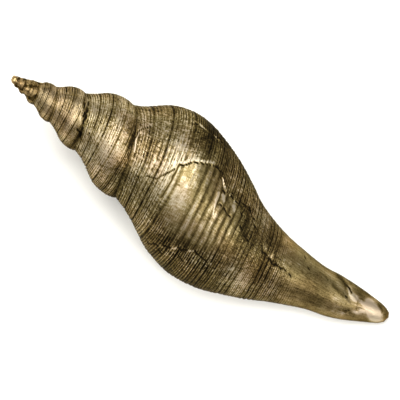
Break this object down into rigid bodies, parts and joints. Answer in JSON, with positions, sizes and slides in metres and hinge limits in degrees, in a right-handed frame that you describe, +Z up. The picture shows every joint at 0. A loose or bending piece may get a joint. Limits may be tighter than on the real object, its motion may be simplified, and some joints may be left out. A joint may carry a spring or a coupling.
{
  "type": "spindle snail shell",
  "caption": "Long high-spired sea snail shell with rounded whorls, a wide mouth below and a long open canal, in an aged bronze finish, lying on its mouth.",
  "frame": {"origin": "centre of the bottom of the bounding box, on the surface that the shell lies on", "axes": "+X runs along the shell's longest extent from the tip to the canal's end, +Z is up, and the outer lip lies on the -Y side"},
  "size_m": [0.1768, 0.06, 0.0487],
  "materials": {
    "aged_bronze": "aged bronze, polished on the high places and dark brown in the grooves, golden at the tip and at the canal's end"
  },
  "bodies": {
    "root": {"shell": "aged_bronze"}
  },
  "joints": []
}
